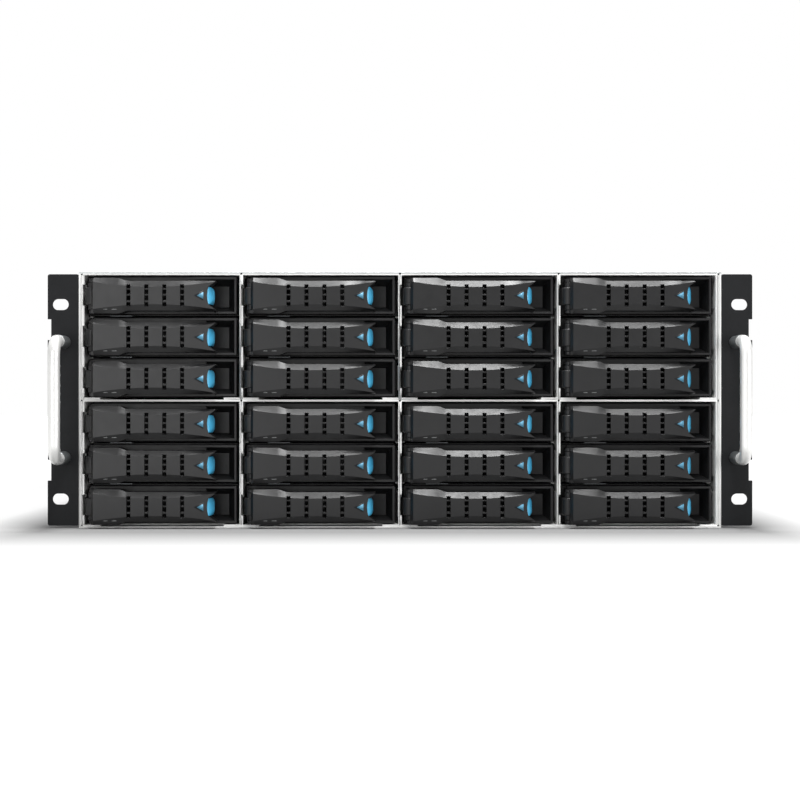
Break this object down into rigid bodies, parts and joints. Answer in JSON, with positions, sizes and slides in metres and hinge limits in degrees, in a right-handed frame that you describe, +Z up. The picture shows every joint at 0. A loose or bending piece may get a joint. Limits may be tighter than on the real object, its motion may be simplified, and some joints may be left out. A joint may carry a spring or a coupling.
{
  "type": "disk shelf enclosure",
  "caption": "Rack-mounted disk shelf with removable disk carriers behind swinging latch levers, slotted ears, pull handles, and pull-out power supplies and port module at the rear.",
  "frame": {"origin": "centre of the four ear slots, on the ears' rear face, which meets the rack rails", "axes": "+Z up, +Y from the front to the rear, +X to the right of someone facing the front"},
  "size_m": [0.4826, 0.554, 0.175],
  "materials": {
    "bright_zinc_sheet": "satin zinc-plated sheet steel",
    "black_powder_coat": "fine-textured black powder coat",
    "satin_aluminium": "satin anodised bar",
    "circuit_board": "solder-masked glass-fibre board",
    "module_sheet": "zinc-plated sheet steel",
    "fan_plastic": "moulded black plastic",
    "disk_carrier": "black moulded front on a sheet tray with a cast disk",
    "lever_plastic": "fine-grained black moulding",
    "latch_plastic": "smooth blue moulding"
  },
  "bodies": {
    "chassis": {"chassis_base": "bright_zinc_sheet", "top_cover": "bright_zinc_sheet", "drive_cage": "bright_zinc_sheet", "rack_ears": "black_powder_coat", "bar_handles": "satin_aluminium", "backplane": "circuit_board"},
    "latch_r1_c1": {"latch_r1_c1": "latch_plastic"},
    "psu_left": {"psu_left": "module_sheet"},
    "psu_right": {"psu_right": "module_sheet"},
    "psu_fan_left": {"psu_fan_left": "fan_plastic"},
    "psu_fan_right": {"psu_fan_right": "fan_plastic"},
    "expander_module": {"expander_module": "module_sheet"},
    "carrier_r1_c1": {"carrier_r1_c1": "disk_carrier"},
    "lever_r1_c1": {"lever_r1_c1": "lever_plastic"},
    "carrier_r1_c2": {"carrier_r1_c2": "disk_carrier"},
    "lever_r1_c2": {"lever_r1_c2": "lever_plastic"},
    "carrier_r1_c3": {"carrier_r1_c3": "disk_carrier"},
    "lever_r1_c3": {"lever_r1_c3": "lever_plastic"},
    "carrier_r1_c4": {"carrier_r1_c4": "disk_carrier"},
    "lever_r1_c4": {"lever_r1_c4": "lever_plastic"},
    "carrier_r2_c1": {"carrier_r2_c1": "disk_carrier"},
    "lever_r2_c1": {"lever_r2_c1": "lever_plastic"},
    "carrier_r2_c2": {"carrier_r2_c2": "disk_carrier"},
    "lever_r2_c2": {"lever_r2_c2": "lever_plastic"},
    "carrier_r2_c3": {"carrier_r2_c3": "disk_carrier"},
    "lever_r2_c3": {"lever_r2_c3": "lever_plastic"},
    "carrier_r2_c4": {"carrier_r2_c4": "disk_carrier"},
    "lever_r2_c4": {"lever_r2_c4": "lever_plastic"},
    "carrier_r3_c1": {"carrier_r3_c1": "disk_carrier"},
    "lever_r3_c1": {"lever_r3_c1": "lever_plastic"},
    "carrier_r3_c2": {"carrier_r3_c2": "disk_carrier"},
    "lever_r3_c2": {"lever_r3_c2": "lever_plastic"},
    "carrier_r3_c3": {"carrier_r3_c3": "disk_carrier"},
    "lever_r3_c3": {"lever_r3_c3": "lever_plastic"},
    "carrier_r3_c4": {"carrier_r3_c4": "disk_carrier"},
    "lever_r3_c4": {"lever_r3_c4": "lever_plastic"},
    "carrier_r4_c1": {"carrier_r4_c1": "disk_carrier"},
    "lever_r4_c1": {"lever_r4_c1": "lever_plastic"},
    "carrier_r4_c2": {"carrier_r4_c2": "disk_carrier"},
    "lever_r4_c2": {"lever_r4_c2": "lever_plastic"},
    "carrier_r4_c3": {"carrier_r4_c3": "disk_carrier"},
    "lever_r4_c3": {"lever_r4_c3": "lever_plastic"},
    "carrier_r4_c4": {"carrier_r4_c4": "disk_carrier"},
    "lever_r4_c4": {"lever_r4_c4": "lever_plastic"},
    "carrier_r5_c1": {"carrier_r5_c1": "disk_carrier"},
    "lever_r5_c1": {"lever_r5_c1": "lever_plastic"},
    "carrier_r5_c2": {"carrier_r5_c2": "disk_carrier"},
    "lever_r5_c2": {"lever_r5_c2": "lever_plastic"},
    "carrier_r5_c3": {"carrier_r5_c3": "disk_carrier"},
    "lever_r5_c3": {"lever_r5_c3": "lever_plastic"},
    "carrier_r5_c4": {"carrier_r5_c4": "disk_carrier"},
    "lever_r5_c4": {"lever_r5_c4": "lever_plastic"},
    "carrier_r6_c1": {"carrier_r6_c1": "disk_carrier"},
    "lever_r6_c1": {"lever_r6_c1": "lever_plastic"},
    "carrier_r6_c2": {"carrier_r6_c2": "disk_carrier"},
    "lever_r6_c2": {"lever_r6_c2": "lever_plastic"},
    "carrier_r6_c3": {"carrier_r6_c3": "disk_carrier"},
    "lever_r6_c3": {"lever_r6_c3": "lever_plastic"},
    "carrier_r6_c4": {"carrier_r6_c4": "disk_carrier"},
    "lever_r6_c4": {"lever_r6_c4": "lever_plastic"}
  },
  "joints": [
    {"name": "latch_press_r1_c1", "type": "slide", "parent": "lever_r1_c1", "child": "latch_r1_c1", "axis": [-1, 0, 0], "range_m": [0, 0.0025], "stiffness_N_per_m": 400},
    {"name": "lever_swing_r1_c1", "type": "hinge", "parent": "carrier_r1_c1", "child": "lever_r1_c1", "pos_m": [-0.2104, -0.003, 0.0722], "axis": [0, 0, -1], "range_deg": [0, 60]},
    {"name": "carrier_slide_r1_c1", "type": "slide", "parent": "chassis", "child": "carrier_r1_c1", "axis": [0, -1, 0], "range_m": [0, 0.19]},
    {"name": "psu_slide_left", "type": "slide", "parent": "chassis", "child": "psu_left", "axis": [0, 1, 0], "range_m": [0, 0.25]},
    {"name": "psu_slide_right", "type": "slide", "parent": "chassis", "child": "psu_right", "axis": [0, 1, 0], "range_m": [0, 0.25]},
    {"name": "psu_fan_spin_left", "type": "hinge", "parent": "psu_left", "child": "psu_fan_left", "pos_m": [-0.1485, 0.4843, -0.0429], "axis": [0, 1, 0], "continuous": true},
    {"name": "psu_fan_spin_right", "type": "hinge", "parent": "psu_right", "child": "psu_fan_right", "pos_m": [0.1485, 0.4843, -0.0429], "axis": [0, 1, 0], "continuous": true},
    {"name": "expander_slide", "type": "slide", "parent": "chassis", "child": "expander_module", "axis": [0, 1, 0], "range_m": [0, 0.25]},
    {"name": "lever_swing_r6_c4", "type": "hinge", "parent": "carrier_r6_c4", "child": "lever_r6_c4", "pos_m": [0.1157, -0.003, -0.0716], "axis": [0, 0, -1], "range_deg": [0, 60]},
    {"name": "carrier_slide_r6_c4", "type": "slide", "parent": "chassis", "child": "carrier_r6_c4", "axis": [0, -1, 0], "range_m": [0, 0.19]},
    {"name": "lever_swing_r3_c2", "type": "hinge", "parent": "carrier_r3_c2", "child": "lever_r3_c2", "pos_m": [-0.1017, -0.003, 0.0156], "axis": [0, 0, -1], "range_deg": [0, 60]},
    {"name": "carrier_slide_r3_c2", "type": "slide", "parent": "chassis", "child": "carrier_r3_c2", "axis": [0, -1, 0], "range_m": [0, 0.19]},
    {"name": "lever_swing_r4_c3", "type": "hinge", "parent": "carrier_r4_c3", "child": "lever_r4_c3", "pos_m": [0.007, -0.003, -0.015], "axis": [0, 0, -1], "range_deg": [0, 60]},
    {"name": "carrier_slide_r4_c3", "type": "slide", "parent": "chassis", "child": "carrier_r4_c3", "axis": [0, -1, 0], "range_m": [0, 0.19]},
    {"name": "lever_swing_r1_c2", "type": "hinge", "parent": "carrier_r1_c2", "child": "lever_r1_c2", "pos_m": [-0.1017, -0.003, 0.0722], "axis": [0, 0, -1], "range_deg": [0, 60]},
    {"name": "carrier_slide_r1_c2", "type": "slide", "parent": "chassis", "child": "carrier_r1_c2", "axis": [0, -1, 0], "range_m": [0, 0.19]},
    {"name": "lever_swing_r1_c3", "type": "hinge", "parent": "carrier_r1_c3", "child": "lever_r1_c3", "pos_m": [0.007, -0.003, 0.0722], "axis": [0, 0, -1], "range_deg": [0, 60]},
    {"name": "carrier_slide_r1_c3", "type": "slide", "parent": "chassis", "child": "carrier_r1_c3", "axis": [0, -1, 0], "range_m": [0, 0.19]},
    {"name": "lever_swing_r1_c4", "type": "hinge", "parent": "carrier_r1_c4", "child": "lever_r1_c4", "pos_m": [0.1157, -0.003, 0.0722], "axis": [0, 0, -1], "range_deg": [0, 60]},
    {"name": "carrier_slide_r1_c4", "type": "slide", "parent": "chassis", "child": "carrier_r1_c4", "axis": [0, -1, 0], "range_m": [0, 0.19]},
    {"name": "lever_swing_r2_c1", "type": "hinge", "parent": "carrier_r2_c1", "child": "lever_r2_c1", "pos_m": [-0.2104, -0.003, 0.0439], "axis": [0, 0, -1], "range_deg": [0, 60]},
    {"name": "carrier_slide_r2_c1", "type": "slide", "parent": "chassis", "child": "carrier_r2_c1", "axis": [0, -1, 0], "range_m": [0, 0.19]},
    {"name": "lever_swing_r2_c2", "type": "hinge", "parent": "carrier_r2_c2", "child": "lever_r2_c2", "pos_m": [-0.1017, -0.003, 0.0439], "axis": [0, 0, -1], "range_deg": [0, 60]},
    {"name": "carrier_slide_r2_c2", "type": "slide", "parent": "chassis", "child": "carrier_r2_c2", "axis": [0, -1, 0], "range_m": [0, 0.19]},
    {"name": "lever_swing_r2_c3", "type": "hinge", "parent": "carrier_r2_c3", "child": "lever_r2_c3", "pos_m": [0.007, -0.003, 0.0439], "axis": [0, 0, -1], "range_deg": [0, 60]},
    {"name": "carrier_slide_r2_c3", "type": "slide", "parent": "chassis", "child": "carrier_r2_c3", "axis": [0, -1, 0], "range_m": [0, 0.19]},
    {"name": "lever_swing_r2_c4", "type": "hinge", "parent": "carrier_r2_c4", "child": "lever_r2_c4", "pos_m": [0.1157, -0.003, 0.0439], "axis": [0, 0, -1], "range_deg": [0, 60]},
    {"name": "carrier_slide_r2_c4", "type": "slide", "parent": "chassis", "child": "carrier_r2_c4", "axis": [0, -1, 0], "range_m": [0, 0.19]},
    {"name": "lever_swing_r3_c1", "type": "hinge", "parent": "carrier_r3_c1", "child": "lever_r3_c1", "pos_m": [-0.2104, -0.003, 0.0156], "axis": [0, 0, -1], "range_deg": [0, 60]},
    {"name": "carrier_slide_r3_c1", "type": "slide", "parent": "chassis", "child": "carrier_r3_c1", "axis": [0, -1, 0], "range_m": [0, 0.19]},
    {"name": "lever_swing_r3_c3", "type": "hinge", "parent": "carrier_r3_c3", "child": "lever_r3_c3", "pos_m": [0.007, -0.003, 0.0156], "axis": [0, 0, -1], "range_deg": [0, 60]},
    {"name": "carrier_slide_r3_c3", "type": "slide", "parent": "chassis", "child": "carrier_r3_c3", "axis": [0, -1, 0], "range_m": [0, 0.19]},
    {"name": "lever_swing_r3_c4", "type": "hinge", "parent": "carrier_r3_c4", "child": "lever_r3_c4", "pos_m": [0.1157, -0.003, 0.0156], "axis": [0, 0, -1], "range_deg": [0, 60]},
    {"name": "carrier_slide_r3_c4", "type": "slide", "parent": "chassis", "child": "carrier_r3_c4", "axis": [0, -1, 0], "range_m": [0, 0.19]},
    {"name": "lever_swing_r4_c1", "type": "hinge", "parent": "carrier_r4_c1", "child": "lever_r4_c1", "pos_m": [-0.2104, -0.003, -0.015], "axis": [0, 0, -1], "range_deg": [0, 60]},
    {"name": "carrier_slide_r4_c1", "type": "slide", "parent": "chassis", "child": "carrier_r4_c1", "axis": [0, -1, 0], "range_m": [0, 0.19]},
    {"name": "lever_swing_r4_c2", "type": "hinge", "parent": "carrier_r4_c2", "child": "lever_r4_c2", "pos_m": [-0.1017, -0.003, -0.015], "axis": [0, 0, -1], "range_deg": [0, 60]},
    {"name": "carrier_slide_r4_c2", "type": "slide", "parent": "chassis", "child": "carrier_r4_c2", "axis": [0, -1, 0], "range_m": [0, 0.19]},
    {"name": "lever_swing_r4_c4", "type": "hinge", "parent": "carrier_r4_c4", "child": "lever_r4_c4", "pos_m": [0.1157, -0.003, -0.015], "axis": [0, 0, -1], "range_deg": [0, 60]},
    {"name": "carrier_slide_r4_c4", "type": "slide", "parent": "chassis", "child": "carrier_r4_c4", "axis": [0, -1, 0], "range_m": [0, 0.19]},
    {"name": "lever_swing_r5_c1", "type": "hinge", "parent": "carrier_r5_c1", "child": "lever_r5_c1", "pos_m": [-0.2104, -0.003, -0.0433], "axis": [0, 0, -1], "range_deg": [0, 60]},
    {"name": "carrier_slide_r5_c1", "type": "slide", "parent": "chassis", "child": "carrier_r5_c1", "axis": [0, -1, 0], "range_m": [0, 0.19]},
    {"name": "lever_swing_r5_c2", "type": "hinge", "parent": "carrier_r5_c2", "child": "lever_r5_c2", "pos_m": [-0.1017, -0.003, -0.0433], "axis": [0, 0, -1], "range_deg": [0, 60]},
    {"name": "carrier_slide_r5_c2", "type": "slide", "parent": "chassis", "child": "carrier_r5_c2", "axis": [0, -1, 0], "range_m": [0, 0.19]},
    {"name": "lever_swing_r5_c3", "type": "hinge", "parent": "carrier_r5_c3", "child": "lever_r5_c3", "pos_m": [0.007, -0.003, -0.0433], "axis": [0, 0, -1], "range_deg": [0, 60]},
    {"name": "carrier_slide_r5_c3", "type": "slide", "parent": "chassis", "child": "carrier_r5_c3", "axis": [0, -1, 0], "range_m": [0, 0.19]},
    {"name": "lever_swing_r5_c4", "type": "hinge", "parent": "carrier_r5_c4", "child": "lever_r5_c4", "pos_m": [0.1157, -0.003, -0.0433], "axis": [0, 0, -1], "range_deg": [0, 60]},
    {"name": "carrier_slide_r5_c4", "type": "slide", "parent": "chassis", "child": "carrier_r5_c4", "axis": [0, -1, 0], "range_m": [0, 0.19]},
    {"name": "lever_swing_r6_c1", "type": "hinge", "parent": "carrier_r6_c1", "child": "lever_r6_c1", "pos_m": [-0.2104, -0.003, -0.0716], "axis": [0, 0, -1], "range_deg": [0, 60]},
    {"name": "carrier_slide_r6_c1", "type": "slide", "parent": "chassis", "child": "carrier_r6_c1", "axis": [0, -1, 0], "range_m": [0, 0.19]},
    {"name": "lever_swing_r6_c2", "type": "hinge", "parent": "carrier_r6_c2", "child": "lever_r6_c2", "pos_m": [-0.1017, -0.003, -0.0716], "axis": [0, 0, -1], "range_deg": [0, 60]},
    {"name": "carrier_slide_r6_c2", "type": "slide", "parent": "chassis", "child": "carrier_r6_c2", "axis": [0, -1, 0], "range_m": [0, 0.19]},
    {"name": "lever_swing_r6_c3", "type": "hinge", "parent": "carrier_r6_c3", "child": "lever_r6_c3", "pos_m": [0.007, -0.003, -0.0716], "axis": [0, 0, -1], "range_deg": [0, 60]},
    {"name": "carrier_slide_r6_c3", "type": "slide", "parent": "chassis", "child": "carrier_r6_c3", "axis": [0, -1, 0], "range_m": [0, 0.19]}
  ]
}
